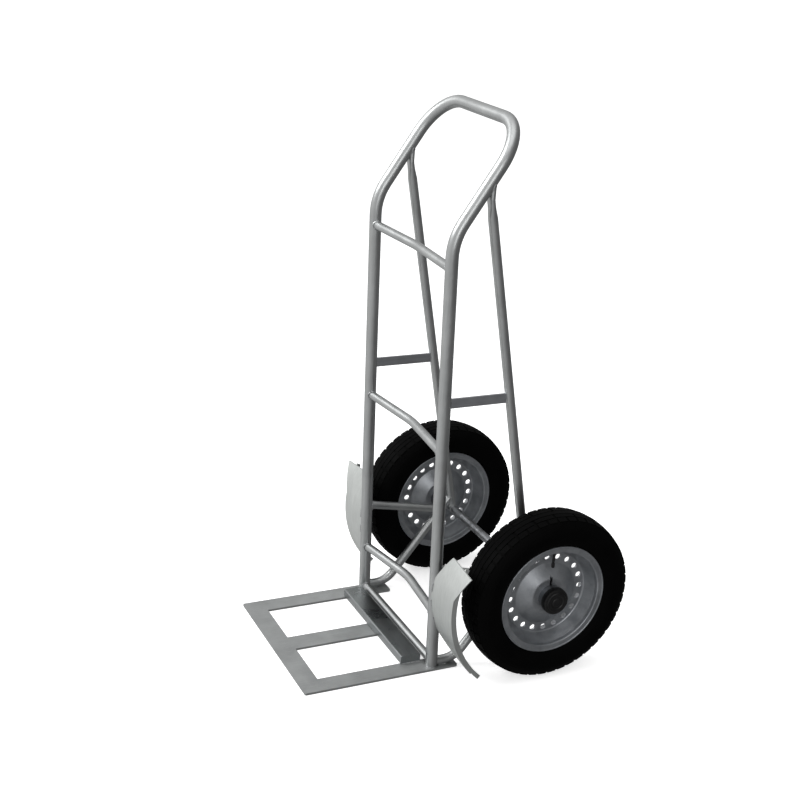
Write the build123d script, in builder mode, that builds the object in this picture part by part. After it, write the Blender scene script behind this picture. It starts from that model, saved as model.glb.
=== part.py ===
"""Two-wheeled hand truck: welded tube frame, barred toe plate, two air-filled wheels on a fixed axle.

X runs across the truck, the toe plate points to -Y, and Z is up. The origin is on the floor, under the
middle of the truck. "Behind" is measured towards +Y from the feet of the two uprights.
"""
import os
from math import cos, radians, sin, tan

from build123d import *

# ---------------------------------------------------------------- driving dimensions (mm, degrees)
WHEEL_R, TYRE_W = 200.0, 102.0     # 400 x 100 air-filled wheel
WHEEL_X = 275.0                    # middle plane of each wheel
AXLE_BACK = 232.0                  # axle behind the feet
AXLE_D = 20.0

FRAME_HALF = 193.0                 # middle of the truck to the axis of an upright
MAIN_D, MAIN_WALL = 28.0, 2.0
STRUT_D, STRUT_WALL = 21.3, 2.0
CROSS_D, CROSS_WALL = 20.0, 2.0
LEAN = 2.0                         # the uprights lean over the toe plate
BEND_Z, BEND_R = 1014.0, 125.0     # where the uprights turn into the handle legs
HANDLE_LEG, HANDLE_SLOPE = 276.0, 33.0     # leg from that bend to the handle bar, and its slope from upright
HANDLE_R = 98.0                    # bend radius of the handle's corners

TOE_REACH, TOE_HALF = 319.0, 211.0     # feet to the front edge, and half the width
BAR_W, BAR_T = 48.0, 5.0           # flat bar of the toe plate
CENTRE_BAR_W = 54.0
SIDE_BAR_TAIL = 60.0               # the side bars run on this far behind the feet
FRONT_CORNER_R, TAIL_CORNER_R = 4.0, 6.0
BOX_W, BOX_H, BOX_WALL = 50.0, 20.0, 2.0   # raised box section in front of the feet
BOX_HALF, BOX_GAP = 166.0, 17.0    # half its length, and its distance from the line of the feet
BOX_OUTER_R, BOX_INNER_R = 3.0, 1.0

CROSSBARS = {                      # height at each upright, and how far the middle is bowed to the rear
    "top_crossbar": dict(left_z=952.0, right_z=952.0, bow=12.0),
    "middle_crossbar": dict(left_z=535.0, right_z=537.0, bow=20.0),
    "low_crossbar": dict(left_z=127.0, right_z=143.0, bow=26.0),
}
BOW_R = 220.0                      # bend radius in the middle of a crossbar
FOOT_BAR_Z = 17.0

STRUT_TILT = 11.8                  # a rear strut leans to the front by this much going up
PRESS_START, PRESS_END = 1056.0, 1096.0    # its top is pressed flat between these heights
PRESSED_W, PRESSED_T = 26.0, 11.0
LOW_STRUT_TOP = 232.0              # height where a lower strut leaves the rear strut
LOW_STRUT_BEND, LOW_STRUT_R = 58.0, 60.0   # it turns level this far behind the feet
AXLE_STRUT_REACH = 33.0            # an axle strut's axis ends this far in front of the axle
BRACE_H, BRACE_T = 22.0, 5.0

SIDES = {                          # hand-welded, so the two sides differ a little
    "left": dict(sign=-1, brace_z=614.5, axle_strut_z=240.0, first_hole=-2.0),
    "right": dict(sign=1, brace_z=653.0, axle_strut_z=255.0, first_hole=3.0),
}

GUARD_R, GUARD_T = 251.0, 2.5      # outside radius about the axle, and thickness
GUARD_X = 300.0                    # outer edge of a guard below its wing
GUARD_TOP, GUARD_FOOT, GUARD_TAIL = 25.0, -41.0, -47.0     # angle above the axle
TOP_SLANT_Z, TOP_SLANT_X = 232.0, 243.0    # the inner top corner is cut off from this height to this x
FOOT_SLANT_Z = 112.0               # the inner foot corner is cut off from this height
SLANT_START = 6.0                  # both cuts start this far outside the upright's axis, hidden by the tube
WING_X, WING_Z, WING_DROP = 336.0, 230.0, 8.0      # the sheet widens above WING_Z to cover the tyre
EDGE_H, EDGE_T = 10.0, 4.0         # strip behind the guard's outer edge

RIM_R, RIM_HALF = 131.0, 39.0      # over the wheel's flanges
SEAT_R, SEAT_W, SEAT_DROP = 119.5, 8.0, 2.0     # tyre seat: radius beside the flange, width, and taper
VALLEY_OUT, VALLEY_IN = 101.0, 77.0     # radii of the flat ring where the two wheel halves are welded
HOLE_RING_R, HOLE_D, HOLES = 90.0, 14.0, 20
SHEET = 2.5                        # sheet of the pressed wheel halves
PRESSED_BENDS = [3.0, 10.0, 5.0, 5.0, 8.0]     # bend radii of a half's face, from the flange to the hub
CONE_TOP_R, CONE_RISE = 44.0, 22.0     # each half rises to here on its way to the hub
HUB_R, HUB_HALF, HUB_BORE = 29.0, 43.0, 15.0
BEARING_R, BEARING_W = 23.5, 14.0
CAP_R, CAP_WALL, CAP_DRAFT = 32.0, 2.5, 1.0     # hub cap, and how much it narrows to its rounded end
CAP_SKIRT, CAP_CREST = 5.0, 4.0    # its overlap on the hub, and the width of its slanted rim
CAP_SPACE = 2.0                    # between the axle's end and the cap
RUN_CLEAR, GAP = 0.05, 0.4         # radial play on the axle, and side play beside moving faces
COLLAR_R, WASHER_R, WASHER_T, PIN_R = 14.0, 15.0, 2.5, 1.6
COLLAR_GAP = 2.0                   # from a strut's side to the collar
RING_CHAMFER, AXLE_CHAMFER = 0.6, 1.0
TREAD_HALF, TREAD_DROP = 30.0, 4.0     # nearly flat part of the tread, and its fall at the edges
WALL_R = 160.0                     # radius where the tyre is widest
TYRE_WALL, CROWN_WALL, BEAD_W = 6.0, 10.0, 9.0
BEAD_CLEAR, LIP_CLEAR = 0.2, 1.5   # bead to the seat and flange, and where the sidewall leaves the flange
TUBE_HALF_W, TUBE_HALF_H, TUBE_WALL = 36.0, 33.0, 2.0      # inner tube's section
TUBE_R = 151.0                     # radius of the inner tube's middle
VALVE_U, STEM_R, VALVE_CAP_R = 21.0, 3.2, 4.0      # valve: distance from the wheel's middle, and radii
VALVE_CAP_START, STEM_START, STEM_END = 72.0, 84.0, 121.0      # radii about the axle
VALVE_HOLE_R = 3.5

FOOT_Y = -(AXLE_BACK + WHEEL_R - TOE_REACH) / 2
AXLE_Y, AXLE_Z = FOOT_Y + AXLE_BACK, WHEEL_R
AXLE_LINE = Axis((0, AXLE_Y, AXLE_Z), (1, 0, 0))
LEAN_RATE = tan(radians(LEAN))
LEVEL_Z = BAR_T + STRUT_D / 2      # axis height of a strut that lies on the toe plate

os.makedirs("parts", exist_ok=True)


def save(builder, label):
    """Label a finished piece and write it as one STEP file."""
    builder.part.label = label
    export_step(builder.part, f"parts/{label}.step")


def frame_point(x, z, out=0.0):
    """A point of the leaning frame plane at height z, moved to the rear by out."""
    return Vector(x, FOOT_Y - z * LEAN_RATE + out, z)


def handle_point(x, along):
    """A point of the handle's sloping plane, this far up from the bend in the uprights."""
    rise = Vector(0, sin(radians(HANDLE_SLOPE)), cos(radians(HANDLE_SLOPE)))
    return frame_point(x, BEND_Z) + rise * along


def strut_point(x, z):
    """A point of a rear strut's axis, which runs to the axle."""
    return Vector(x, AXLE_Y - (z - AXLE_Z) * tan(radians(STRUT_TILT)), z)


def tube(path, outer_d, wall, x_dir=(1, 0, 0)):
    """Sweep a round tube along a line or wire, into the active part."""
    with BuildSketch(Plane(origin=path @ 0, x_dir=x_dir, z_dir=path % 0)) as section:
        Circle(outer_d / 2)
        Circle(outer_d / 2 - wall, mode=Mode.SUBTRACT)
    sweep(sections=section.sketch, path=path)


def cut_rod(start, end, radius):
    """Take the space of a round bar between two points out of the active part."""
    along = end - start
    side = (0, 0, 1) if abs(along.X) > 0.5 * along.length else (1, 0, 0)
    with BuildSketch(Plane(origin=start, x_dir=side, z_dir=along.normalized())) as section:
        Circle(radius)
    extrude(section.sketch, amount=along.length, mode=Mode.SUBTRACT)


def cope_to_uprights():
    """Cut the active part's ends to sit against both uprights."""
    for x in (-FRAME_HALF, FRAME_HALF):
        cut_rod(frame_point(x, 0), frame_point(x, BEND_Z), MAIN_D / 2)


def cut_axle_space(x):
    """Cut the active part round the axle, near one side of the frame."""
    reach = Vector(STRUT_D, 0, 0)
    centre = Vector(x, AXLE_Y, AXLE_Z)
    cut_rod(centre - reach, centre + reach, AXLE_D / 2)


# ---------------------------------------------------------------- main tube: uprights and handle
with BuildPart() as main_frame:
    with BuildLine() as main_line:
        FilletPolyline(
            frame_point(-FRAME_HALF, BAR_T),
            frame_point(-FRAME_HALF, BEND_Z),
            handle_point(-FRAME_HALF, HANDLE_LEG),
            handle_point(FRAME_HALF, HANDLE_LEG),
            frame_point(FRAME_HALF, BEND_Z),
            frame_point(FRAME_HALF, BAR_T),
            radius=[BEND_R, HANDLE_R, HANDLE_R, BEND_R],
        )
    tube(main_line.line, MAIN_D, MAIN_WALL)
    # the feet are cut level to stand on the side bars
    with BuildSketch(Plane.XY):
        with Locations((0, FOOT_Y)):
            Rectangle(3 * FRAME_HALF, 3 * MAIN_D)
    extrude(amount=BAR_T, mode=Mode.SUBTRACT)
save(main_frame, "main_frame")

# ---------------------------------------------------------------- crossbars
for name, place in CROSSBARS.items():
    middle_z = (place["left_z"] + place["right_z"]) / 2
    with BuildPart() as crossbar:
        with BuildLine() as bar_line:
            FilletPolyline(
                frame_point(-FRAME_HALF, place["left_z"]),
                frame_point(0, middle_z, place["bow"]),
                frame_point(FRAME_HALF, place["right_z"]),
                radius=BOW_R,
            )
        tube(bar_line.line, CROSS_D, CROSS_WALL, x_dir=(0, 0, 1))
        cope_to_uprights()
    save(crossbar, name)

with BuildPart() as foot_crossbar:
    with BuildLine() as foot_line:
        Line(frame_point(-FRAME_HALF, FOOT_BAR_Z), frame_point(FRAME_HALF, FOOT_BAR_Z))
    tube(foot_line.line, CROSS_D, CROSS_WALL, x_dir=(0, 0, 1))
    cope_to_uprights()
    # the lower struts end here too
    for x in (-FRAME_HALF, FRAME_HALF):
        cut_rod(Vector(x, FOOT_Y, LEVEL_Z), Vector(x, FOOT_Y + LOW_STRUT_BEND, LEVEL_Z), STRUT_D / 2)
save(foot_crossbar, "foot_crossbar")

# ---------------------------------------------------------------- struts and braces on each side
for side, place in SIDES.items():
    x = place["sign"] * FRAME_HALF
    press_top = strut_point(x, PRESS_END)

    with BuildPart() as rear_strut:
        with BuildLine() as strut_line:
            Line(strut_point(x, AXLE_Z), strut_point(x, PRESS_START))
        tube(strut_line.line, STRUT_D, STRUT_WALL)
        # pressed end: round to a flattened oval that runs into the handle leg
        with BuildSketch(Plane(origin=strut_line.line @ 1, x_dir=(1, 0, 0), z_dir=strut_line.line % 1)):
            Circle(STRUT_D / 2)
        with BuildSketch(Plane(origin=press_top, x_dir=(1, 0, 0), z_dir=(0, 0, 1))):
            SlotOverall(PRESSED_W, PRESSED_T)
        loft()
        with BuildSketch(Plane(origin=press_top, x_dir=(1, 0, 0), z_dir=(0, 0, 1))):
            SlotOverall(PRESSED_W, PRESSED_T)
        extrude(amount=MAIN_D)
        cut_rod(handle_point(x, 0), handle_point(x, HANDLE_LEG), MAIN_D / 2)
        # nothing of it stays above the handle leg
        leg_up = Vector(0, -cos(radians(HANDLE_SLOPE)), sin(radians(HANDLE_SLOPE)))
        split(bisect_by=Plane(origin=handle_point(x, 0), x_dir=(1, 0, 0), z_dir=-leg_up), keep=Keep.TOP)
        cut_axle_space(x)
        # its foot is cut level with the middle of the axle
        with BuildSketch(Plane.XY):
            with Locations((x, AXLE_Y)):
                Rectangle(2 * STRUT_D, 2 * STRUT_D)
        extrude(amount=AXLE_Z, mode=Mode.SUBTRACT)
    save(rear_strut, f"rear_strut_{side}")

    with BuildPart() as lower_strut:
        with BuildLine() as low_line:
            FilletPolyline(
                strut_point(x, LOW_STRUT_TOP),
                (x, FOOT_Y + LOW_STRUT_BEND, LEVEL_Z),
                (x, FOOT_Y, LEVEL_Z),
                radius=LOW_STRUT_R,
            )
        tube(low_line.line, STRUT_D, STRUT_WALL)
        cut_rod(strut_point(x, AXLE_Z), strut_point(x, 2 * AXLE_Z), STRUT_D / 2)
        cut_axle_space(x)
        cope_to_uprights()
    save(lower_strut, f"lower_strut_{side}")

    axle_strut_end = Vector(x, AXLE_Y - AXLE_STRUT_REACH, AXLE_Z)
    low_bend = Vector(x, FOOT_Y + LOW_STRUT_BEND, LEVEL_Z)
    with BuildPart() as axle_strut:
        with BuildLine() as link_line:
            Line(frame_point(x, place["axle_strut_z"]), axle_strut_end)
        tube(link_line.line, CROSS_D, CROSS_WALL)
        cope_to_uprights()
        cut_rod(strut_point(x, LOW_STRUT_TOP), low_bend, STRUT_D / 2)
        # the offcut behind the lower strut goes
        tube_part = axle_strut.part.solids().sort_by(Axis.Y)[0]
        add(tube_part, mode=Mode.INTERSECT)
    save(axle_strut, f"axle_strut_{side}")

    brace_z = place["brace_z"]
    brace_front, brace_rear = frame_point(x, brace_z).Y, strut_point(x, brace_z).Y
    with BuildPart() as side_brace:
        with BuildSketch(Plane.YZ.offset(x - BRACE_T / 2)):
            with Locations(((brace_front + brace_rear) / 2, brace_z)):
                Rectangle(brace_rear - brace_front, BRACE_H)
        extrude(amount=BRACE_T)
        cope_to_uprights()
        cut_rod(strut_point(x, AXLE_Z), strut_point(x, PRESS_START), STRUT_D / 2)
    save(side_brace, f"side_brace_{side}")

# ---------------------------------------------------------------- wheel guards


def guard_band(start_x, outer_r, depth, foot):
    """Outline of a band about the axle, from the guard's top down to foot degrees above the axle."""
    with BuildSketch(Plane.YZ.offset(start_x)) as band:
        with BuildLine():
            outer = CenterArc((AXLE_Y, AXLE_Z), outer_r, 180 - GUARD_TOP, GUARD_TOP - foot)
            inner = CenterArc((AXLE_Y, AXLE_Z), outer_r - depth, 180 - GUARD_TOP, GUARD_TOP - foot)
            Line(outer @ 0, inner @ 0)
            Line(outer @ 1, inner @ 1)
        make_face()
    return band.sketch


top_z = AXLE_Z + GUARD_R * sin(radians(GUARD_TOP))
foot_z = AXLE_Z + GUARD_R * sin(radians(GUARD_FOOT))
over_z, under_z = top_z + GUARD_T, foot_z - EDGE_H
corner_x = FRAME_HALF + SLANT_START
guard_cuts = [                     # what is cut off the sheet, seen from the front
    # inner top corner, and the top edge that falls to the wing's corner
    [(corner_x, TOP_SLANT_Z), (TOP_SLANT_X, top_z), (WING_X, top_z - WING_DROP), (WING_X, over_z),
     (corner_x, over_z)],
    # inner foot corner
    [(corner_x, FOOT_SLANT_Z), (GUARD_X - EDGE_T, foot_z + EDGE_H), (GUARD_X - EDGE_T, under_z),
     (corner_x, under_z)],
    # outside, under the wing
    [(GUARD_X, under_z), (GUARD_X, WING_Z), (WING_X, top_z - WING_DROP), (WING_X, under_z)],
]
for side, place in SIDES.items():
    sign = place["sign"]
    with BuildPart() as wheel_guard:
        extrude(guard_band(min(sign * FRAME_HALF, sign * WING_X), GUARD_R, GUARD_T, GUARD_FOOT),
                amount=WING_X - FRAME_HALF)
        with BuildSketch(Plane.XZ):
            for corner in guard_cuts:
                with BuildLine():
                    Polyline(*[(sign * x, z) for x, z in corner], close=True)
                make_face()
        extrude(amount=2 * GUARD_R, both=True, mode=Mode.SUBTRACT)
        cope_to_uprights()
        # only the sheet outside the upright is kept
        outside = wheel_guard.part.solids().sort_by(SortBy.VOLUME)[-1]
        add(outside, mode=Mode.INTERSECT)
    save(wheel_guard, f"wheel_guard_{side}")

    with BuildPart() as guard_edge:
        start_x = min(sign * (GUARD_X - EDGE_T), sign * GUARD_X)
        extrude(guard_band(start_x, GUARD_R - GUARD_T, EDGE_H, GUARD_TAIL), amount=EDGE_T)
    save(guard_edge, f"guard_edge_{side}")

# ---------------------------------------------------------------- toe plate
toe_front = FOOT_Y - TOE_REACH
with BuildPart() as toe_front_bar:
    with BuildSketch(Plane.XY) as front_outline:
        with Locations((0, toe_front + BAR_W / 2)):
            Rectangle(2 * TOE_HALF, BAR_W)
        fillet(front_outline.vertices().group_by(Axis.Y)[0], FRONT_CORNER_R)
    extrude(amount=BAR_T)
save(toe_front_bar, "toe_front_bar")

side_bar_l = TOE_REACH - BAR_W + SIDE_BAR_TAIL
for side, place in SIDES.items():
    with BuildPart() as toe_side_bar:
        with BuildSketch(Plane.XY) as side_outline:
            with Locations((place["sign"] * (TOE_HALF - BAR_W / 2), toe_front + BAR_W + side_bar_l / 2)):
                Rectangle(BAR_W, side_bar_l)
            fillet(side_outline.vertices().group_by(Axis.Y)[-1], TAIL_CORNER_R)
        extrude(amount=BAR_T)
    save(toe_side_bar, f"toe_side_bar_{side}")

centre_bar_l = TOE_REACH - BAR_W - BOX_GAP
with BuildPart() as toe_centre_bar:
    with BuildSketch(Plane.XY):
        with Locations((0, toe_front + BAR_W + centre_bar_l / 2)):
            Rectangle(CENTRE_BAR_W, centre_bar_l)
    extrude(amount=BAR_T)
save(toe_centre_bar, "toe_centre_bar")

box_middle = (FOOT_Y - BOX_GAP - BOX_W / 2, BAR_T + BOX_H / 2)
with BuildPart() as toe_box_section:
    with BuildSketch(Plane.YZ.offset(-BOX_HALF)):
        with Locations(box_middle):
            RectangleRounded(BOX_W, BOX_H, BOX_OUTER_R)
            RectangleRounded(BOX_W - 2 * BOX_WALL, BOX_H - 2 * BOX_WALL, BOX_INNER_R, mode=Mode.SUBTRACT)
    extrude(amount=2 * BOX_HALF)
save(toe_box_section, "toe_box_section")

with BuildPart() as box_end_plates:
    for start in (-BOX_HALF - BOX_WALL, BOX_HALF):
        with BuildSketch(Plane.YZ.offset(start)):
            with Locations(box_middle):
                RectangleRounded(BOX_W, BOX_H, BOX_OUTER_R)
        extrude(amount=BOX_WALL)
save(box_end_plates, "box_end_plates")

# ---------------------------------------------------------------- axle
hub_in, hub_out = WHEEL_X - HUB_HALF, WHEEL_X + HUB_HALF
collar_start = FRAME_HALF + STRUT_D / 2 + COLLAR_GAP
washer_start = hub_out + GAP
pin_x = washer_start + WASHER_T + GAP + PIN_R
axle_half = pin_x + 2 * PIN_R
with BuildPart() as axle:
    with BuildSketch(Plane.YZ.offset(-axle_half)):
        with Locations((AXLE_Y, AXLE_Z)):
            Circle(AXLE_D / 2)
    extrude(amount=2 * axle_half)
    chamfer(axle.edges().filter_by(GeomType.CIRCLE), AXLE_CHAMFER)
    for x in (-pin_x, pin_x):
        cut_rod(Vector(x, AXLE_Y, AXLE_Z - AXLE_D), Vector(x, AXLE_Y, AXLE_Z + AXLE_D), PIN_R)
save(axle, "axle")

# ---------------------------------------------------------------- wheels: shared outlines
# In a wheel's section plane, u is the distance outwards from its middle plane and r the radius.


def turned(plane, points):
    """Turn a closed outline of (u, r) points about the axle, into the active part."""
    with BuildSketch(plane) as outline:
        with BuildLine():
            Polyline(*points, close=True)
        make_face()
    revolve(outline.sketch, axis=AXLE_LINE)


def ring_points(start, length, radius, bore):
    """Outline of a plain ring that starts at u = start."""
    return [(start, bore), (start + length, bore), (start + length, radius), (start, radius)]


tyre_half = TYRE_W / 2
tread_edge = WHEEL_R - TREAD_DROP
bead_half = RIM_HALF - SHEET - BEAD_CLEAR
bead_heel_r = SEAT_R + BEAD_CLEAR
bead_toe_r = bead_heel_r - BEAD_W * SEAT_DROP / SEAT_W
pressed_face = [                   # outer face of a wheel half, from the flange's lip to the hub
    (RIM_HALF, RIM_R),
    (RIM_HALF, SEAT_R - SHEET),
    (RIM_HALF - SEAT_W, SEAT_R - SHEET - SEAT_DROP),
    (SHEET, VALLEY_OUT),
    (SHEET, VALLEY_IN),
    (CONE_RISE, CONE_TOP_R),
    (CONE_RISE, HUB_R),
]

# ---------------------------------------------------------------- wheels
for side, place in SIDES.items():
    sign = place["sign"]
    outward = Plane(origin=(sign * WHEEL_X, AXLE_Y, AXLE_Z), x_dir=(sign, 0, 0), z_dir=(0, -sign, 0))
    inward = Plane(origin=(sign * WHEEL_X, AXLE_Y, AXLE_Z), x_dir=(-sign, 0, 0), z_dir=(0, sign, 0))

    with BuildPart() as tyre:
        with BuildSketch(outward):
            with BuildLine():
                ThreePointArc((-TREAD_HALF, tread_edge), (0, WHEEL_R), (TREAD_HALF, tread_edge))
                for half in (1, -1):
                    lip = (half * bead_half, RIM_R + LIP_CLEAR)
                    toe = (half * (bead_half - BEAD_W), bead_toe_r)
                    Spline(
                        (half * TREAD_HALF, tread_edge), (half * tyre_half, WALL_R), lip,
                        tangents=((half, -0.35), (-half * 0.8, -1)),
                    )
                    Polyline(lip, (half * bead_half, bead_heel_r), toe)
                    Spline(
                        toe, (half * (tyre_half - TYRE_WALL), WALL_R), (0, WHEEL_R - CROWN_WALL),
                        tangents=((half * 0.2, 1), (-half, 0)),
                    )
            make_face()
        revolve(axis=AXLE_LINE)
    save(tyre, f"tyre_{side}")

    with BuildPart() as inner_tube:
        with BuildSketch(outward):
            with Locations((0, TUBE_R)):
                Ellipse(TUBE_HALF_W, TUBE_HALF_H)
                Ellipse(TUBE_HALF_W - TUBE_WALL, TUBE_HALF_H - TUBE_WALL, mode=Mode.SUBTRACT)
        revolve(axis=AXLE_LINE)
    save(inner_tube, f"inner_tube_{side}")

    # two pressed halves, welded back to back in the valley where the ring of holes goes through both
    valve_out = Vector(sign * (WHEEL_X + VALVE_U), AXLE_Y, AXLE_Z)
    for half_name, plane in (("outer", outward), ("inner", inward)):
        with BuildPart() as wheel_half:
            with BuildSketch(plane):
                with BuildLine():
                    FilletPolyline(*pressed_face, radius=PRESSED_BENDS)
                    offset(amount=SHEET, side=Side.RIGHT)
                make_face()
            revolve(axis=AXLE_LINE)
            with BuildSketch(Plane.YZ.offset(sign * WHEEL_X)):
                with Locations((AXLE_Y, AXLE_Z)):
                    with PolarLocations(HOLE_RING_R, HOLES, start_angle=place["first_hole"]):
                        Circle(HOLE_D / 2)
            extrude(amount=2 * SHEET, both=True, mode=Mode.SUBTRACT)
            if half_name == "outer":
                cut_rod(valve_out, valve_out + Vector(0, 0, RIM_R), VALVE_HOLE_R)
        save(wheel_half, f"{half_name}_wheel_half_{side}")

    # hub: turned sleeve with a bearing seat in each end
    with BuildPart() as hub:
        turned(outward, ring_points(-HUB_HALF, 2 * HUB_HALF, HUB_R, HUB_BORE))
        with BuildSketch(outward) as seats:
            for start in (-HUB_HALF, HUB_HALF - BEARING_W):
                with BuildLine():
                    Polyline(*ring_points(start, BEARING_W, BEARING_R, HUB_BORE), close=True)
                make_face()
        revolve(axis=AXLE_LINE, mode=Mode.SUBTRACT)
    save(hub, f"hub_{side}")

    bore = AXLE_D / 2 + RUN_CLEAR
    rings = {                      # name: start, length, radius, bore, in u
        "inner_bearing": (-HUB_HALF, BEARING_W, BEARING_R, bore),
        "outer_bearing": (HUB_HALF - BEARING_W, BEARING_W, BEARING_R, bore),
        "axle_collar": (collar_start - WHEEL_X, hub_in - GAP - collar_start, COLLAR_R, AXLE_D / 2),
        "axle_washer": (washer_start - WHEEL_X, WASHER_T, WASHER_R, AXLE_D / 2),
    }
    for name, (start, length, radius, hole) in rings.items():
        with BuildPart() as ring:
            turned(outward, ring_points(start, length, radius, hole))
            outer_edges = ring.edges().filter_by(GeomType.CIRCLE).group_by(SortBy.RADIUS)[-1]
            chamfer(outer_edges, RING_CHAMFER)
        save(ring, f"{name}_{side}")

    with BuildPart() as split_pin:
        with BuildSketch(Plane.XY.offset(AXLE_Z - WASHER_R)):
            with Locations((sign * pin_x, AXLE_Y)):
                Circle(PIN_R)
        extrude(amount=2 * WASHER_R + PIN_R)
        # the eye at its head
        with Locations((sign * pin_x, AXLE_Y, AXLE_Z + WASHER_R + 2 * PIN_R)):
            Sphere(1.5 * PIN_R)
    save(split_pin, f"split_pin_{side}")

    # hub cap: moulded cup pressed over the hub's outer end
    cap_in = axle_half + CAP_SPACE - WHEEL_X
    cap_points = [
        (HUB_HALF - CAP_SKIRT, HUB_R),
        (HUB_HALF - CAP_SKIRT, CAP_R),
        (cap_in - CAP_DRAFT, CAP_R - CAP_DRAFT),
        (cap_in + CAP_WALL, CAP_R - CAP_CREST),
        (cap_in + CAP_WALL, 0),
        (cap_in, 0),
        (cap_in, HUB_R - CAP_CREST),
        (HUB_HALF, HUB_R - CAP_WALL),
        (HUB_HALF, HUB_R),
    ]
    with BuildPart() as hub_cap:
        turned(outward, cap_points)
    save(hub_cap, f"hub_cap_{side}")

    # valve: stem from the inner tube through the outer half's seat, and its cap
    valve = Plane(origin=valve_out, x_dir=(1, 0, 0), z_dir=(0, 0, 1))
    with BuildPart() as valve_stem:
        with BuildSketch(valve.offset(STEM_START)):
            Circle(STEM_R)
        extrude(amount=STEM_END - STEM_START)
    save(valve_stem, f"valve_stem_{side}")
    with BuildPart() as valve_cap:
        with BuildSketch(valve.offset(VALVE_CAP_START)):
            Circle(VALVE_CAP_R)
        extrude(amount=STEM_START - VALVE_CAP_START)
    save(valve_cap, f"valve_cap_{side}")
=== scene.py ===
"""Looks of the hand truck: zinc-plated tube and bar, lacquered wheels, rubber tyres, and welds.

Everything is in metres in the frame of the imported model: X across the truck, -Y over the toe plate, Z up.
"""
from math import cos, exp, pi, radians, sin, tan

import bmesh
import bpy
from mathutils import Matrix, Vector
from mathutils.geometry import interpolate_bezier


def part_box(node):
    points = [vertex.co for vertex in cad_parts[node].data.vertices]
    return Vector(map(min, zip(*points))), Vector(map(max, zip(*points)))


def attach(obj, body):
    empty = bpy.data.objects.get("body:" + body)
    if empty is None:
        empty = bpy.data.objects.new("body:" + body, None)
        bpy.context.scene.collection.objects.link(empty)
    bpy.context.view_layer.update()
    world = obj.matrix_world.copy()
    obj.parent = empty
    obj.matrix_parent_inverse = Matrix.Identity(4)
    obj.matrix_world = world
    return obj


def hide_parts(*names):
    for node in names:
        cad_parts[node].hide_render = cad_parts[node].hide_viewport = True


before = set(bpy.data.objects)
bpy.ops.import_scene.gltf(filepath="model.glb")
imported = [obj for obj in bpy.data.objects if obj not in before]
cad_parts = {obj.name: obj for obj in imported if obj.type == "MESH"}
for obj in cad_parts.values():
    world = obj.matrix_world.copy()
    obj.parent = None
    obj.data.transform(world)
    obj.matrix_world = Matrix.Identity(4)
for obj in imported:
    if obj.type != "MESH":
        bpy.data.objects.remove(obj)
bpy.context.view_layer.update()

MM = 0.001
SIDES = {"left": -1, "right": 1}

# ---------------------------------------------------------------- places, read from the frame


def middle(node):
    """The middle of a CAD node's box."""
    low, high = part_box(node)
    return (low + high) / 2


AXLE_Y, AXLE_Z = middle("axle").y, middle("axle").z
WHEEL_X = middle("tyre_right").x
WHEEL_R = (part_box("tyre_right")[1].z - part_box("tyre_right")[0].z) / 2
FRAME_X = middle("rear_strut_right").x
BAR_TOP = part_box("toe_front_bar")[1].z
BOX_GAP = 17 * MM                  # from the end of the centre bar to the axes of the uprights' feet
FOOT_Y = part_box("toe_centre_bar")[1].y + BOX_GAP
LEAN = tan(radians(2))             # how far an upright leans forwards, for each metre of height
# radii of the uprights, the crossbars, the side tubes and the axle
MAIN_R, CROSS_R, STRUT_R, AXLE_R = 14 * MM, 10 * MM, 10.65 * MM, 10 * MM

# ---------------------------------------------------------------- camera
CAMERA_LENS = 62.05
CAMERA_AZIMUTH, CAMERA_HEIGHT, CAMERA_ROLL = radians(63.57), radians(20.69), radians(4.14)
CAMERA_DISTANCE, CAMERA_TARGET = 3.1519, Vector((-0.0226, -0.0790, 0.5825))
back = Vector((sin(CAMERA_AZIMUTH) * cos(CAMERA_HEIGHT), -cos(CAMERA_AZIMUTH) * cos(CAMERA_HEIGHT),
               sin(CAMERA_HEIGHT)))
level = Vector((cos(CAMERA_AZIMUTH), sin(CAMERA_AZIMUTH), 0))
aim = Matrix((level, back.cross(level), back)).transposed()
camera_data = bpy.data.cameras.new("camera")
camera_data.lens = CAMERA_LENS
camera_data.clip_end = 200
camera = bpy.data.objects.new("camera", camera_data)
camera.matrix_world = (
    Matrix.Translation(CAMERA_TARGET + back * CAMERA_DISTANCE)
    @ aim.to_4x4() @ Matrix.Rotation(CAMERA_ROLL, 4, "Z")
)
bpy.context.scene.collection.objects.link(camera)
bpy.context.scene.camera = camera
bpy.context.scene.view_settings.view_transform = "Standard"

# ---------------------------------------------------------------- materials: helpers
COLOUR_A, COLOUR_B, COLOUR_OUT = 6, 7, 2     # the Mix node's colour sockets, which share names with others
USUAL = {"From Min": 0.35, "From Max": 0.65}  # the values that a noise pattern mostly has
FINE = {"Detail": 2.0, "Roughness": 0.6}
SOFT = {"Detail": 3.0, "Roughness": 0.6}
CLOUDY = {"Detail": 4.0, "Roughness": 0.6}
PATCHY = {"Detail": 5.0, "Roughness": 0.6}
DUSTY = {"Detail": 6.0, "Roughness": 0.6}
SCRATCHED = {"Detail": 6.0, "Roughness": 0.7}


def linear(hex_colour):
    """An sRGB hex colour as linear RGBA."""
    srgb = [int(hex_colour[i:i + 2], 16) / 255 for i in (1, 3, 5)]
    return [c / 12.92 if c <= 0.04045 else ((c + 0.055) / 1.055) ** 2.4 for c in srgb] + [1.0]


def add_node(tree, kind, inputs, output=0, **settings):
    """Add a node with its settings, set or link its inputs, and return one of its outputs."""
    node = tree.nodes.new(kind)
    for name, value in settings.items():
        setattr(node, name, value)
    for name, value in inputs.items():
        if isinstance(value, bpy.types.NodeSocket):
            tree.links.new(value, node.inputs[name])
        else:
            node.inputs[name].default_value = value
    return node.outputs[output]


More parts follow.
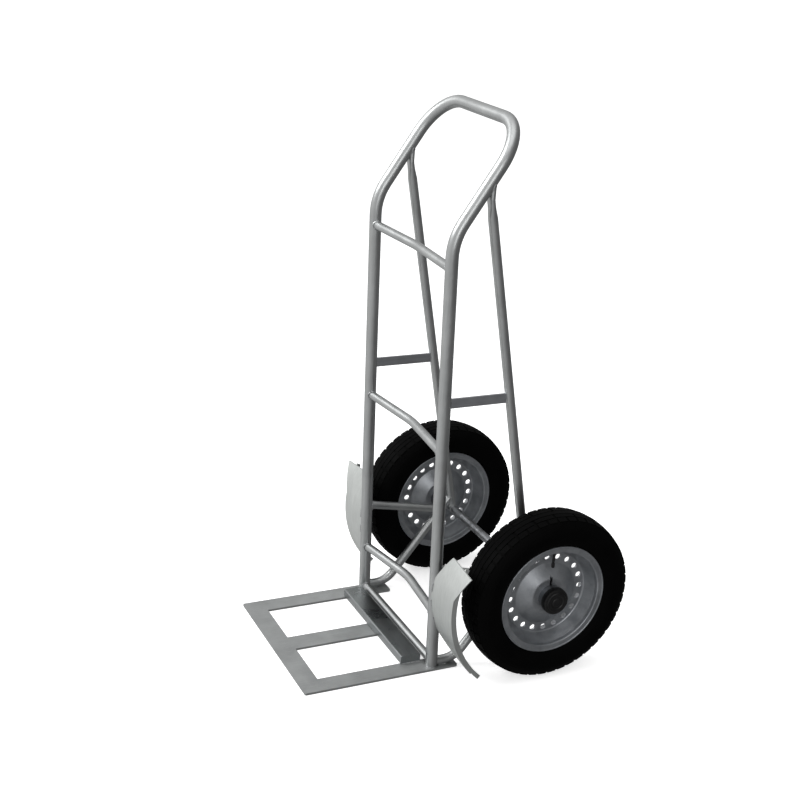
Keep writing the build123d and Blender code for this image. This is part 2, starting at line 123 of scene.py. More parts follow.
def per_mm(size):
    """Texture scale that gives features of this size in millimetres."""
    return 1 / (size * MM)


def start_material(name, **constants):
    """A new material: its node tree, its shader with these constants, and object coordinates."""
    material = bpy.data.materials.new(name)
    material.use_nodes = True
    tree = material.node_tree
    shader = tree.nodes["Principled BSDF"]
    for socket, value in constants.items():
        shader.inputs[socket.replace("_", " ")].default_value = value
    place = add_node(tree, "ShaderNodeTexCoord", {}, "Object")
    return material, tree, shader, place


def two_tone(tree, pattern, dark, light, start=0.35, end=0.65):
    """Colour that goes from one sRGB tone to the other between two values of a pattern."""
    share = add_node(tree, "ShaderNodeMapRange", {"Value": pattern, "From Min": start, "From Max": end})
    return add_node(tree, "ShaderNodeMix", {"Factor": share, COLOUR_A: linear(dark), COLOUR_B: linear(light)},
                    COLOUR_OUT, data_type="RGBA")


def join(tree, shader, links):
    """Link values to the shader's sockets by name."""
    for socket, value in links.items():
        tree.links.new(value, shader.inputs[socket])


# ---------------------------------------------------------------- materials: the finishes
def zinc_plated(name, streaks, dark="#a6a8a8", light="#b4b6b6", rough=(0.36, 0.42), line=2.4,
                cloud_size=60.0):
    """Bright zinc plating on drawn or rolled steel.

    The plating is satin, with a faint cloud of passivate in it, and the lines of drawing or rolling show
    through it as fine streaks. streaks is small in the direction that they run.
    """
    material, tree, shader, place = start_material(name, Metallic=1.0)
    drawn = add_node(tree, "ShaderNodeMapping", {"Vector": place, "Scale": streaks})
    lines = add_node(tree, "ShaderNodeTexNoise", {"Vector": drawn, "Scale": per_mm(line), **SOFT})
    cloud = add_node(tree, "ShaderNodeTexNoise", {"Vector": place, "Scale": per_mm(cloud_size), **SOFT})
    # real plating crystals are too fine to show, so this grain is drawn at 1.6 mm
    grain = add_node(tree, "ShaderNodeTexNoise", {"Vector": place, "Scale": per_mm(1.6), **FINE})
    tone = add_node(tree, "ShaderNodeMath", {0: cloud, 1: lines}, operation="ADD")
    low, high = rough
    relief = add_node(tree, "ShaderNodeBump", {"Height": lines, "Distance": 0.03 * MM, "Strength": 0.4})
    join(tree, shader, {
        "Base Color": two_tone(tree, tone, dark, light, 0.75, 1.25),
        "Roughness": add_node(tree, "ShaderNodeMapRange", {
            "Value": cloud, **USUAL, "To Min": low, "To Max": high}),
        "Normal": add_node(tree, "ShaderNodeBump", {
            "Height": grain, "Distance": 0.03 * MM, "Strength": 0.4, "Normal": relief}),
    })
    return material


def scuffed_bar():
    """Zinc-plated hot-rolled flat bar of the toe plate.

    Mill scale under the plating leaves it slightly pitted, and loads sliding on and off along the truck have
    left fine bright scratches in the dull skin.
    """
    material, tree, shader, place = start_material("zinc_plated_flat_bar", Metallic=0.85)
    slid = add_node(tree, "ShaderNodeMapping", {"Vector": place, "Scale": (1, 0.05, 1)})
    scratch = add_node(tree, "ShaderNodeTexNoise", {"Vector": slid, "Scale": per_mm(2.0), **SCRATCHED})
    cloud = add_node(tree, "ShaderNodeTexNoise", {"Vector": place, "Scale": per_mm(70.0), **CLOUDY})
    pits = add_node(tree, "ShaderNodeTexVoronoi", {"Vector": place, "Scale": per_mm(4.0)})
    bright = add_node(tree, "ShaderNodeMapRange", {
        "Value": scratch, "From Min": 0.58, "From Max": 0.76, "To Min": 0, "To Max": 0.7})
    skin = two_tone(tree, cloud, "#979999", "#a5a7a7")
    relief = add_node(tree, "ShaderNodeBump", {"Height": scratch, "Distance": 0.04 * MM, "Strength": 0.4})
    join(tree, shader, {
        "Base Color": add_node(tree, "ShaderNodeMix", {
            "Factor": bright, COLOUR_A: skin, COLOUR_B: linear("#b9bbbb")}, COLOUR_OUT, data_type="RGBA"),
        "Roughness": add_node(tree, "ShaderNodeMapRange", {
            "Value": scratch, "From Min": 0.45, "From Max": 0.70, "To Min": 0.56, "To Max": 0.44}),
        "Normal": add_node(tree, "ShaderNodeBump", {
            "Height": pits, "Distance": 0.06 * MM, "Strength": 0.3, "Normal": relief}),
    })
    return material


def weld_bead():
    """Electric arc weld bead, plated over.

    The ripples catch the light, and soot and spatter left in them keep the plating duller than on the tube.
    """
    material, tree, shader, place = start_material("plated_arc_weld", Metallic=1.0)
    cloud = add_node(tree, "ShaderNodeTexNoise", {"Vector": place, "Scale": per_mm(6.0), **PATCHY})
    spatter = add_node(tree, "ShaderNodeTexNoise", {"Vector": place, "Scale": per_mm(1.2), **SOFT})
    join(tree, shader, {
        "Base Color": two_tone(tree, cloud, "#8b8c8e", "#afb1b1"),
        "Roughness": add_node(tree, "ShaderNodeMapRange", {
            "Value": cloud, **USUAL, "To Min": 0.52, "To Max": 0.40}),
        "Normal": add_node(tree, "ShaderNodeBump", {
            "Height": spatter, "Distance": 0.12 * MM, "Strength": 0.6}),
    })
    return material


def turned_steel(name, dark, light, rough):
    """Turned steel: fine rings from the lathe round the axle line give it a soft cross highlight."""
    material, tree, shader, place = start_material(name, Metallic=1.0)
    cut = add_node(tree, "ShaderNodeMapping", {"Vector": place, "Scale": (1, 0.05, 0.05)})
    rings = add_node(tree, "ShaderNodeTexNoise", {"Vector": cut, "Scale": per_mm(0.9), **FINE})
    cloud = add_node(tree, "ShaderNodeTexNoise", {"Vector": place, "Scale": per_mm(12.0), **CLOUDY})
    join(tree, shader, {
        "Base Color": two_tone(tree, cloud, dark, light),
        "Roughness": add_node(tree, "ShaderNodeMapRange", {
            "Value": cloud, **USUAL, "To Min": rough, "To Max": rough + 0.12}),
        "Normal": add_node(tree, "ShaderNodeBump", {
            "Height": rings, "Distance": 0.04 * MM, "Strength": 0.5}),
    })
    return material


def wheel_lacquer():
    """Silver-grey stoving lacquer over pressed sheet steel.

    Metal flake gives it a soft sheen under a smooth film, with slight orange peel, and road dust dulls it in
    patches.
    """
    material, tree, shader, place = start_material(
        "silver_grey_stoving_lacquer", Metallic=0.75, Coat_Weight=0.35, Coat_Roughness=0.22)
    flake = add_node(tree, "ShaderNodeTexNoise", {"Vector": place, "Scale": per_mm(1.4), **FINE})
    dust = add_node(tree, "ShaderNodeTexNoise", {"Vector": place, "Scale": per_mm(30.0), **DUSTY})
    peel = add_node(tree, "ShaderNodeTexNoise", {"Vector": place, "Scale": per_mm(3.5), **FINE})
    dulled = add_node(tree, "ShaderNodeMapRange", {"Value": dust, **USUAL, "To Min": 0.34, "To Max": 0.46})
    glint = add_node(tree, "ShaderNodeMapRange", {"Value": flake, **USUAL, "To Min": -0.03, "To Max": 0.03})
    join(tree, shader, {
        "Base Color": two_tone(tree, dust, "#83868a", "#989b9f"),
        "Roughness": add_node(tree, "ShaderNodeMath", {0: dulled, 1: glint}, operation="ADD"),
        "Normal": add_node(tree, "ShaderNodeBump", {
            "Height": peel, "Distance": 0.05 * MM, "Strength": 0.4}),
    })
    return material


def tyre_rubber():
    """Vulcanised black tyre rubber with a mould-release bloom: deep black, matt, faintly grained."""
    material, tree, shader, place = start_material("vulcanised_tyre_rubber", Specular_IOR_Level=0.04)
    grain = add_node(tree, "ShaderNodeTexNoise", {"Vector": place, "Scale": per_mm(1.8), **CLOUDY})
    bloom = add_node(tree, "ShaderNodeTexNoise", {"Vector": place, "Scale": per_mm(40.0), **PATCHY})
    join(tree, shader, {
        "Base Color": two_tone(tree, bloom, "#010101", "#040404"),
        "Roughness": add_node(tree, "ShaderNodeMapRange", {
            "Value": bloom, **USUAL, "To Min": 0.62, "To Max": 0.80}),
        "Normal": add_node(tree, "ShaderNodeBump", {
            "Height": grain, "Distance": 0.12 * MM, "Strength": 0.5}),
    })
    return material


def moulded_plastic(name, dark, light, rough):
    """Injection-moulded black plastic: a fine spark-eroded texture breaks up its sheen."""
    material, tree, shader, place = start_material(name, Specular_IOR_Level=0.35)
    texture = add_node(tree, "ShaderNodeTexNoise", {"Vector": place, "Scale": per_mm(0.9), **FINE})
    handled = add_node(tree, "ShaderNodeTexNoise", {"Vector": place, "Scale": per_mm(14.0), **CLOUDY})
    join(tree, shader, {
        "Base Color": two_tone(tree, handled, dark, light),
        "Roughness": add_node(tree, "ShaderNodeMapRange", {
            "Value": handled, **USUAL, "To Min": rough, "To Max": rough + 0.14}),
        "Normal": add_node(tree, "ShaderNodeBump", {
            "Height": texture, "Distance": 0.05 * MM, "Strength": 0.5}),
    })
    return material


UPRIGHT, ACROSS, LENGTHWAYS = (1, 1, 0.03), (0.03, 1, 1), (1, 0.03, 1)
zinc_upright = zinc_plated("zinc_plated_drawn_tube_upright", UPRIGHT)
zinc_across = zinc_plated("zinc_plated_drawn_tube_across", ACROSS)
zinc_side = zinc_plated("zinc_plated_drawn_tube_lengthways", LENGTHWAYS)
zinc_guard = zinc_plated("zinc_plated_guard_sheet", UPRIGHT, "#c3c6c4", "#d0d3d1", (0.44, 0.50), 5.0, 80.0)
zinc_brace = zinc_plated("zinc_plated_brace_bar", LENGTHWAYS, "#a3a5a9", "#afb1b5", (0.42, 0.50), 3.0, 40.0)
zinc_box = zinc_plated("zinc_plated_box_section", ACROSS, "#8d9091", "#999c9d", (0.26, 0.32), 3.0, 60.0)
flat_bar = scuffed_bar()
weld = weld_bead()
axle_steel = turned_steel("turned_axle_steel", "#8d8f92", "#a8aaad", 0.28)
hub_steel = turned_steel("turned_hub_steel", "#6f7275", "#8a8c90", 0.34)
bearing_steel = turned_steel("ground_bearing_steel", "#a0a2a5", "#c2c4c7", 0.16)
lacquer = wheel_lacquer()
rubber = tyre_rubber()
tube_rubber = moulded_plastic("butyl_rubber", "#101010", "#1a1a1a", 0.55)
cap_plastic = moulded_plastic("black_polyethylene_moulding", "#050506", "#0e0e0f", 0.30)

SHOWN_AS = {                       # CAD nodes that stay as they are, by finish
    zinc_upright: ["main_frame", "rear_strut_left", "rear_strut_right", "lower_strut_left",
                   "lower_strut_right"],
    zinc_across: ["top_crossbar", "middle_crossbar", "low_crossbar", "foot_crossbar"],
    zinc_side: ["axle_strut_left", "axle_strut_right"],
    zinc_box: ["toe_box_section", "box_end_plates"],
    zinc_guard: ["wheel_guard_left", "wheel_guard_right", "guard_edge_left", "guard_edge_right"],
    zinc_brace: ["side_brace_left", "side_brace_right"],
    flat_bar: ["toe_front_bar", "toe_side_bar_left", "toe_side_bar_right", "toe_centre_bar"],
    axle_steel: ["axle", "axle_collar_left", "axle_collar_right", "axle_washer_left", "axle_washer_right",
                 "split_pin_left", "split_pin_right"],
    hub_steel: ["hub_left", "hub_right"],
    bearing_steel: ["inner_bearing_left", "inner_bearing_right", "outer_bearing_left", "outer_bearing_right"],
    lacquer: ["outer_wheel_half_left", "outer_wheel_half_right", "inner_wheel_half_left",
              "inner_wheel_half_right"],
    tube_rubber: ["inner_tube_left", "inner_tube_right"],
}
for material, nodes in SHOWN_AS.items():
    for name in nodes:
        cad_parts[name].data.materials[0] = material

# ---------------------------------------------------------------- pieces: helpers
SHARP_ANGLE = radians(38)          # an edge that turns by more than this stays crisp
SAME_PLACE = 0.002 * MM            # points nearer than this are one point


def finish_piece(name, bm, material, body, slot, *stands_for):
    """Make a finished bmesh a piece of the object, shaded smooth up to sharp edges."""
    mesh = bpy.data.meshes.new(name)
    bm.to_mesh(mesh)
    bm.free()
    mesh.materials.append(material)
    mesh.shade_smooth()
    mesh.set_sharp_from_angle(angle=SHARP_ANGLE)
    piece = bpy.data.objects.new(name, mesh)
    bpy.context.scene.collection.objects.link(piece)
    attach(piece, body)
    if stands_for:
        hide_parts(*stands_for)


def lathe(outline, centre, axis, outwards, steps, closed=True, into=None):
    """Turn an outline about an axis through centre.

    The outline's points are (along, radius) in millimetres; outwards is a direction square to the axis.
    """
    bm = into or bmesh.new()
    axis, outwards = Vector(axis), Vector(outwards)
    row = [bm.verts.new(centre + axis * along * MM + outwards * radius * MM) for along, radius in outline]
    pairs = list(zip(row, row[1:])) + ([(row[-1], row[0])] if closed else [])
    edges = [bm.edges.new(pair) for pair in pairs]
    bmesh.ops.spin(bm, geom=row + edges, cent=centre, axis=axis, dvec=(0, 0, 0), angle=2 * pi, steps=steps,
                   use_merge=True, use_duplicate=False, use_normal_flip=False)
    bmesh.ops.remove_doubles(bm, verts=bm.verts, dist=SAME_PLACE)
    bmesh.ops.recalc_face_normals(bm, faces=bm.faces)
    return bm


def round_section(along, radius, r, points=10):
    """Outline of a small round bar, for a rolled edge."""
    turns = [2 * pi * i / points for i in range(points)]
    return [(along + r * cos(turn), radius + r * sin(turn)) for turn in turns]


# ---------------------------------------------------------------- wheels
TREAD_STEPS = 240                  # columns of faces round the tyre
PITCH = 5                          # columns to one tread block and its slot, 26 mm round the tread
BLOCK_H = 2.2                      # tread block height, in mm
TREAD_INSET = 0.3                  # keeps the block tops inside the CAD tyre
BASE_R = WHEEL_R / MM - BLOCK_H - TREAD_INSET
STAGGER = 2                        # columns between the slots of one side and of the other
TREAD_ROWS = [7, 9, 21, 23, 37]    # edges of centre rib, groove, mid rib, groove, shoulder, from the middle
TREAD_FALL = 5.2                   # from the middle to the shoulder
SHOULDER_R, WALL_U, WALL_R = 184, 50.6, 160
SIDEWALL_RIBS = [178, 172, 143]    # radii of the moulded rings on the sidewall
RIB_H, RIB_W, WIDEST_U = 0.7, 1.1, WALL_U + 0.3
RIM_LIP_R, BEAD_U = 132, 36.4
BEAD = [(36.2, 119.8), (28, 118)]  # heel and toe, on the tyre seat
INSIDE = [(42, 160), (34, 180), (0, 188)]
LIP_U, LIP_R, LIP_ROLL = 38.2, 130.4, 2.3


def tread_floor(u):
    """Radius of the tread's floor at this distance from the middle."""
    return BASE_R - TREAD_FALL * (u / TREAD_ROWS[-1]) ** 2


def sidewall():
    """One sidewall, from the shoulder down to the rim, as (u, r) points."""
    edge = TREAD_ROWS[-1]
    upper = interpolate_bezier((edge, tread_floor(edge)), (45, SHOULDER_R), (WALL_U, 172),
                               (WALL_U, WALL_R), 16)
    lower = interpolate_bezier((WALL_U, WALL_R), (WALL_U, 148), (44, 138), (BEAD_U, RIM_LIP_R), 14)
    wall = []
    for u, r in list(upper)[1:] + list(lower)[1:]:
        rib = sum(exp(-((r - rib_r) / RIB_W) ** 2) for rib_r in SIDEWALL_RIBS)
        wall.append((min(u + RIB_H * rib, WIDEST_U), r))
    return wall


def make_tyre(side, sign, centre):
    """Tyre with a ribbed tread, slotted shoulders and moulded rings on its walls."""
    half = [(u, tread_floor(u)) for u in TREAD_ROWS] + sidewall() + BEAD + INSIDE
    outline = half + [(-u, r) for u, r in reversed(half) if u]
    bm = lathe(outline, centre, (sign, 0, 0), (0, 0, 1), TREAD_STEPS)
    raised = []
    for face in bm.faces:
        spot = face.calc_center_median() - centre
        u, ray = sign * spot.x / MM, Vector((spot.y, spot.z))
        if abs(u) > TREAD_ROWS[-1] or ray.length / MM < BASE_R - TREAD_FALL - 1:
            continue
        turn = Vector((0, 1)).angle_signed(ray) / (2 * pi) % 1
        column = round(turn * TREAD_STEPS - 0.5) + (STAGGER if u > 0 else 0)
        centre_rib = abs(u) < TREAD_ROWS[0]
        mid_rib = TREAD_ROWS[1] < abs(u) < TREAD_ROWS[2] and column % (2 * PITCH) != 0
        shoulder = abs(u) > TREAD_ROWS[3] and column % PITCH != 0
        if centre_rib or mid_rib or shoulder:
            raised.append(face)
    lifted = bmesh.ops.extrude_face_region(bm, geom=raised)["geom"]
    for vert in [v for v in lifted if isinstance(v, bmesh.types.BMVert)]:
        radial = Vector((0, vert.co.y - centre.y, vert.co.z - centre.z)).normalized()
        vert.co += radial * BLOCK_H * MM
    # the extruded faces leave their old places as inner walls
    bmesh.ops.delete(bm, geom=[f for f in raised if f.is_valid], context="FACES_ONLY")
    bmesh.ops.recalc_face_normals(bm, faces=bm.faces)
    finish_piece(f"ribbed_tyre_{side}", bm, rubber, f"wheel_{side}", "tyre_rubber", f"tyre_{side}")


HUB_END = (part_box("hub_right")[1].x - WHEEL_X) / MM
CAP_END = (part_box("hub_cap_right")[1].x - WHEEL_X) / MM


def make_hub_cap(side, sign, centre):
    """Moulded hub cap: skirt over the hub, raised ring, and a boss with a dimple."""
    face = [(CAP_END - 0.6, 0), (CAP_END - 0.6, 3), (CAP_END, 5), (CAP_END, 8.5), (CAP_END - 0.6, 10),
            (CAP_END - 1.6, 10.8), (CAP_END - 1.7, 15.5), (CAP_END - 0.3, 17), (CAP_END, 18.5),
            (CAP_END, 21.5), (CAP_END - 0.5, 23), (CAP_END - 2.2, 24), (CAP_END - 2.6, 26),
            (CAP_END - 2.8, 28), (CAP_END - 4.2, 30.4), (CAP_END - 7, 31.4)]
    skirt = [(HUB_END - 4.2, 32), (HUB_END - 5, 31.6), (HUB_END - 5, 29.2), (HUB_END + 0.5, 29.2)]
    inside = [(CAP_END - 5.5, 28), (CAP_END - 3.4, 24), (CAP_END - 2.45, 20), (CAP_END - 2.45, 0)]
    bm = lathe(face + skirt + inside, centre, (sign, 0, 0), (0, 0, 1), steps=72, closed=False)
    finish_piece(f"moulded_hub_cap_{side}", bm, cap_plastic, f"wheel_{side}", "black_moulding",
                 f"hub_cap_{side}")


def make_rim_details(side, sign, centre):
    """Rolled lips of both flanges."""
    bm = bmesh.new()
    for face in (1, -1):
        lathe(round_section(face * LIP_U, LIP_R, LIP_ROLL), centre, (sign, 0, 0), (0, 0, 1),
              steps=144, into=bm)
    finish_piece(f"rolled_rim_lips_{side}", bm, lacquer, f"wheel_{side}", "wheel_sheet")


THREAD_PITCH, THREAD_H, THREAD_LINES = 0.5, 0.35, 8      # in mm, drawn coarse enough to show
KNURLS = 36                        # ridges and grooves round the valve cap
KNURL_R = 3.8 * MM                 # the cap's outer points lie beyond this
GROOVE = 0.9                       # a groove's radius, as a share of a ridge's


def make_valve(side, centre):
    """Rubber valve stem with a threaded end and its knurled cap, pointing to the hub."""
    stem_box, cap_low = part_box(f"valve_stem_{side}"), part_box(f"valve_cap_{side}")[0]
    root = Vector((middle(f"valve_stem_{side}").x, centre.y, cap_low.z))
    stem_l = (stem_box[1].z - cap_low.z) / MM
    stem = [(11, 0), (11, 2.6), (14, 2.6)]
    stem += [(14 + THREAD_PITCH * i, 2.6 + THREAD_H * (i % 2)) for i in range(1, THREAD_LINES + 1)]
    stem += [(18.5, 3.2), (27, 3.2), (29.5, 3.2), (stem_l, 3.2), (stem_l, 0)]
    finish_piece(f"threaded_valve_stem_{side}", lathe(stem, root, (0, 0, 1), (1, 0, 0), steps=24,
                                                        closed=False),
                 tube_rubber, f"wheel_{side}", "tube_rubber", f"valve_stem_{side}")
    cap = [(0, 0), (0, 2.4), (0.8, 3.3), (3, 3.6), (3.2, 3.9), (11, 3.9), (11.6, 3.5), (11.6, 2.8),
           (4, 2.8), (4, 0)]
    bm = lathe(cap, root, (0, 0, 1), (1, 0, 0), steps=KNURLS, closed=False)
    for vert in bm.verts:
        ray = vert.co.xy - root.xy
        if ray.length > KNURL_R:
            turn = Vector((1, 0)).angle_signed(ray) % (2 * pi)
            if round(turn * KNURLS / (2 * pi)) % 2:
                vert.co.xy = root.xy + ray * GROOVE
    finish_piece(f"knurled_valve_cap_{side}", bm, cap_plastic, f"wheel_{side}", "black_moulding",
                 f"valve_cap_{side}")


def make_bearing_seal(side, sign, centre):
    """Rubber shield that closes the inner bearing, with its moulded ring."""
    outline = [(-HUB_END - 0.2, 12), (-HUB_END - 0.2, 14.5), (-HUB_END - 0.5, 15), (-HUB_END - 0.5, 20),
               (-HUB_END - 0.1, 20.5), (-HUB_END - 0.1, 22.6), (-HUB_END + 0.4, 22.6), (-HUB_END + 0.4, 12)]
    bm = lathe(outline, centre, (sign, 0, 0), (0, 0, 1), steps=64)
    finish_piece(f"bearing_seal_{side}", bm, tube_rubber, f"wheel_{side}", "tube_rubber")


for side, sign in SIDES.items():
    wheel_centre = Vector((sign * WHEEL_X, AXLE_Y, AXLE_Z))
    make_tyre(side, sign, wheel_centre)
    make_hub_cap(side, sign, wheel_centre)
    make_rim_details(side, sign, wheel_centre)
    make_valve(side, wheel_centre)
    make_bearing_seal(side, sign, wheel_centre)

# ---------------------------------------------------------------- welds
BEAD_R = 2.0 * MM                  # half the width of a weld bead
RIPPLE = 1.3 * MM                  # half the distance between ripples
RIDGE, VALLEY = 1.12, 0.84         # a bead's thickness on a ripple and between two
STRUT_TILT = tan(radians(11.8))    # lean of the side tubes
HANDLE_UP = Vector((0, sin(radians(33)), cos(radians(33))))
BEND_Z, PRESSED_TOP_Z, LOW_STRUT_TOP_Z = 1.014, 1.096, 0.232
PRESSED_HALF = (13 * MM, 5.5 * MM)  # half widths of a side tube where its top is pressed flat
AXLE_STRUT_REACH, LOW_STRUT_BEND = 33 * MM, 58 * MM
CROSSBAR_END = 20 * MM             # length at a crossbar's end that shows its height there
FOOT_SEAM = (16 * MM, 36 * MM)     # start and end of a side tube's weld, behind the foot's axis
SEAM_LIFT = 1 * MM
GUARD_R = 251 * MM
GUARD_STITCHES = [(0.118, 0.140), (0.162, 0.184), (0.204, 0.226)]
EDGE_SEAM_R = GUARD_R - 3 * MM     # where a guard meets the strip behind its edge
EDGE_STITCHES = [16, 4, -8, -20, -32]      # degrees above the axle
STITCH_POINTS = 8                  # half a degree apart


def bead_round_tube(foot, along, radius, on_point, on_axis, on_radius, other=None):
    """Points round the end of a tube where it meets another tube.

    foot and along are the joining tube's axis; on_point, on_axis and on_radius are the tube that it meets.
    other is the joining section's second half width, where it is pressed flat.
    """
    along, on_axis = along.normalized(), on_axis.normalized()
    wide = on_axis.cross(along).normalized()
    deep = along.cross(wide)
    count = max(12, 2 * round(pi * (radius + (other or radius)) / (2 * RIPPLE)))
    points = []
    for i in range(count):
        turn = 2 * pi * i / count
        start = foot + wide * radius * cos(turn) + deep * (other or radius) * sin(turn)
        # slide along the joining tube until it is on_radius away from the other tube's axis
        reach, gap = along.cross(on_axis), (start - on_point).cross(on_axis)
        a, b, c = reach.dot(reach), reach.dot(gap), gap.dot(gap) - on_radius ** 2
        root = (-b + max(b * b - a * c, 0) ** 0.5) / a
        points.append(start + along * root)
    return points


def bead_line(start, end):
    """Points of a straight weld."""
    start, end = Vector(start), Vector(end)
    count = max(4, round((end - start).length / RIPPLE))
    return [start.lerp(end, i / count) for i in range(count + 1)]


def lay_welds(name, slot, loops, lines=()):
    """Lay rippled weld beads along closed loops and open lines, as one piece on the frame."""
    curve = bpy.data.curves.new(name, "CURVE")
    curve.dimensions = "3D"
    curve.bevel_depth = BEAD_R
    curve.bevel_resolution = 2
    curve.use_fill_caps = True
    for points, closed in [(p, True) for p in loops] + [(p, False) for p in lines]:
        spline = curve.splines.new("POLY")
        spline.points.add(len(points) - 1)
        for i, (spot, point) in enumerate(zip(spline.points, points)):
            spot.co = (*point, 1)
            # hand welding is uneven, so the bead swells and shrinks a little on its way
            spot.radius = (RIDGE, VALLEY)[i % 2] * (0.93 + 0.09 * sin(1.7 * i))
        spline.use_cyclic_u = closed
    drawn = bpy.data.objects.new(name + "_line", curve)
    bpy.context.scene.collection.objects.link(drawn)
    mesh = bpy.data.meshes.new_from_object(drawn)
    bpy.data.objects.remove(drawn)
    bm = bmesh.new()
    bm.from_mesh(mesh)
    bpy.data.meshes.remove(mesh)
    bmesh.ops.remove_doubles(bm, verts=bm.verts, dist=SAME_PLACE)
    bmesh.ops.recalc_face_normals(bm, faces=bm.faces)
    finish_piece(name, bm, weld, "frame", slot)


def upright(x, z):
    """A point of an upright's axis."""
    return Vector((x, FOOT_Y - z * LEAN, z))


def ring(centre, radius, first, second):
    """Points of a circle in the plane of two square directions."""
    count = round(pi * radius / RIPPLE)
    turns = [2 * pi * i / count for i in range(count)]
    return [centre + (Vector(first) * cos(a) + Vector(second) * sin(a)) * radius for a in turns]


def guard_seam(sign, low_z, high_z):
    """Points of a weld between a guard's inner edge and the upright, between two heights."""
    points = []
    count = round((high_z - low_z) / RIPPLE)
    for i in range(count + 1):
        z = low_z + (high_z - low_z) * i / count
        y = AXLE_Y - (GUARD_R ** 2 - (z - AXLE_Z) ** 2) ** 0.5
        off = y - upright(FRAME_X, z).y
        points.append(Vector((sign * (FRAME_X + max(MAIN_R ** 2 - off ** 2, 0) ** 0.5), y, z)))
    return points


UP = Vector((0, -LEAN, 1))
crossbar_welds, strut_welds, toe_welds = [], [], []
brace_lines, toe_lines, guard_lines = [], [], []

for name in ("top_crossbar", "middle_crossbar", "low_crossbar", "foot_crossbar"):
    for sign in SIDES.values():
        end_z = [v.co.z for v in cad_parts[name].data.vertices if sign * v.co.x > FRAME_X - CROSSBAR_END]
        foot = upright(sign * FRAME_X, sum(end_z) / len(end_z))
        crossbar_welds.append(bead_round_tube(foot, Vector((-sign, 0, 0)), CROSS_R, foot, UP, MAIN_R))

for side, sign in SIDES.items():
    x = sign * FRAME_X
    tilt = Vector((0, -STRUT_TILT, 1))
    axle_point = Vector((x, AXLE_Y, AXLE_Z))
    # rear strut: round the axle on both sides, and under the handle leg
    for out in (-1, 1):
        strut_welds.append(ring(axle_point + Vector((out * (STRUT_R + 0.5 * MM), 0, 0)), AXLE_R,
                                (0, 1, 0), (0, 0, 1)))
    strut_top = Vector((x, AXLE_Y - (PRESSED_TOP_Z - AXLE_Z) * STRUT_TILT, PRESSED_TOP_Z))
    strut_welds.append(bead_round_tube(strut_top, Vector((0, 0, -1)), PRESSED_HALF[0], upright(x, BEND_Z),
                                       HANDLE_UP, MAIN_R, other=PRESSED_HALF[1]))
    # axle strut: to the upright, and to the lower strut
    link_foot = upright(x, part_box(f"axle_strut_{side}")[1].z - CROSS_R)
    link_end = Vector((x, AXLE_Y - AXLE_STRUT_REACH, AXLE_Z))
    low_top = axle_point + tilt * (LOW_STRUT_TOP_Z - AXLE_Z)
    low_run = Vector((x, FOOT_Y + LOW_STRUT_BEND, BAR_TOP + STRUT_R)) - low_top
    strut_welds += [
        bead_round_tube(link_foot, link_end - link_foot, CROSS_R, link_foot, UP, MAIN_R),
        bead_round_tube(link_end, link_foot - link_end, CROSS_R, low_top, low_run, STRUT_R),
        bead_round_tube(low_top, low_run, STRUT_R - 0.3 * MM, axle_point, tilt, STRUT_R),
    ]
    # foot of the upright, and the level run of the lower strut, on the side bar
    toe_welds.append(ring(Vector((x, FOOT_Y, BAR_TOP)), MAIN_R, (1, 0, 0), (0, 1, 0)))
    for out in (-1, 1):
        side_x = x + out * STRUT_R / 2
        toe_lines.append(bead_line(*[(side_x, FOOT_Y + y, BAR_TOP + SEAM_LIFT) for y in FOOT_SEAM]))
    # box section: its end on the side bar
    box_low, box_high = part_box("box_end_plates")
    toe_lines.append(bead_line((sign * box_high.x, box_low.y + 2 * MM, BAR_TOP),
                               (sign * box_high.x, box_high.y - 2 * MM, BAR_TOP)))
    # side brace: both faces at both ends
    brace_low, brace_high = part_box(f"side_brace_{side}")
    for face_x in (brace_low.x, brace_high.x):
        for y in (brace_low.y + 0.5 * MM, brace_high.y - 0.5 * MM):
            brace_lines.append(bead_line((face_x, y, brace_low.z + SEAM_LIFT),
                                         (face_x, y, brace_high.z - SEAM_LIFT)))
    # guard: stitches to the upright, and between the sheet and the strip behind its edge
    guard_lines += [guard_seam(sign, *span) for span in GUARD_STITCHES]
    edge_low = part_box(f"guard_edge_{side}")[0 if sign > 0 else 1]
    for angle in EDGE_STITCHES:
        turns = [radians(angle + step / 2) for step in range(STITCH_POINTS)]
        guard_lines.append([Vector((edge_low.x, AXLE_Y - EDGE_SEAM_R * cos(turn),
                                    AXLE_Z + EDGE_SEAM_R * sin(turn))) for turn in turns])

lay_welds("crossbar_welds", "zinc_tube", crossbar_welds)
lay_welds("strut_welds", "zinc_tube", strut_welds, brace_lines)
lay_welds("toe_plate_welds", "zinc_plate", toe_welds, toe_lines)
lay_welds("guard_welds", "guard_sheet", [], guard_lines)

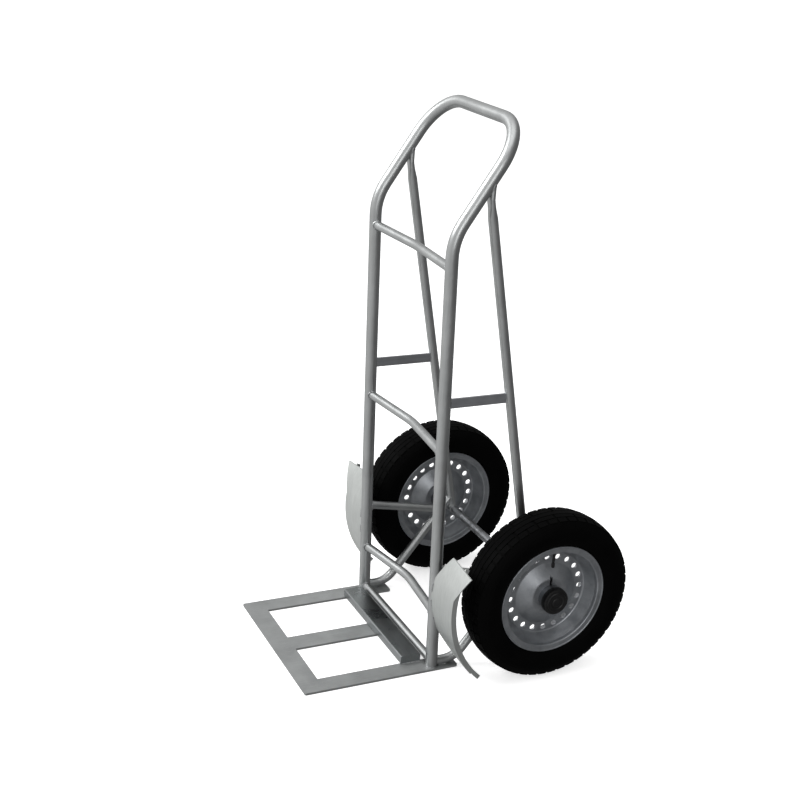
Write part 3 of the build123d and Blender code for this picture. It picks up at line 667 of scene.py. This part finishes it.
# ---------------------------------------------------------------- floor and light
FLOOR_R, FLOOR_DROP = 80, 0.5 * MM
FLOOR_GLOW = 0.62
BRIGHT_SIDE = Vector((-0.35, -0.85, 0.40)).normalized()
DIM, BRIGHT = 0.19, 0.84           # strength of the light from behind and from the bright side
LIGHT_TARGET = Vector((0, 0, 0.5))

floor_bm = bmesh.new()
bmesh.ops.create_circle(floor_bm, cap_ends=True, segments=64, radius=FLOOR_R)
floor_mesh = bpy.data.meshes.new("floor")
floor_bm.to_mesh(floor_mesh)
floor_bm.free()
floor = bpy.data.objects.new("floor", floor_mesh)
floor.location.z = -FLOOR_DROP
bpy.context.scene.collection.objects.link(floor)
floor_material, _, floor_shader, _ = start_material("pale_floor", Roughness=0.9, Emission_Strength=FLOOR_GLOW)
floor_shader.inputs["Base Color"].default_value = linear("#f2f2f2")
floor_shader.inputs["Emission Color"].default_value = linear("#ffffff")
floor_mesh.materials.append(floor_material)
floor.visible_glossy = False
floor.visible_diffuse = False

world = bpy.data.worlds.new("studio")
bpy.context.scene.world = world
world.use_nodes = True
sky = world.node_tree
direction = add_node(sky, "ShaderNodeTexCoord", {}, "Generated")
toward = add_node(sky, "ShaderNodeVectorMath", {0: direction, 1: BRIGHT_SIDE}, "Value",
                  operation="DOT_PRODUCT")
strength = add_node(sky, "ShaderNodeMapRange", {
    "Value": toward, "From Min": -0.9, "From Max": 0.9, "To Min": DIM, "To Max": BRIGHT,
}, interpolation_type="SMOOTHSTEP")
sky.links.new(strength, sky.nodes["Background"].inputs["Strength"])
sky.nodes["Background"].inputs["Color"].default_value = linear("#ffffff")

SOFTBOXES = {                      # place, width, power
    "key": ((-1.8, -3.2, 3.4), 1.6, 150),
    "top": ((0.3, -0.2, 4.2), 3.0, 30),
    "fill": ((3.6, -1.2, 1.8), 1.6, 25),
}
for name, (place, width, power) in SOFTBOXES.items():
    light_data = bpy.data.lights.new(name, "AREA")
    light_data.shape = "SQUARE"
    light_data.size = width
    light_data.energy = power
    light = bpy.data.objects.new(name, light_data)
    light.location = place
    light.rotation_euler = (LIGHT_TARGET - light.location).to_track_quat("-Z", "Y").to_euler()
    bpy.context.scene.collection.objects.link(light)
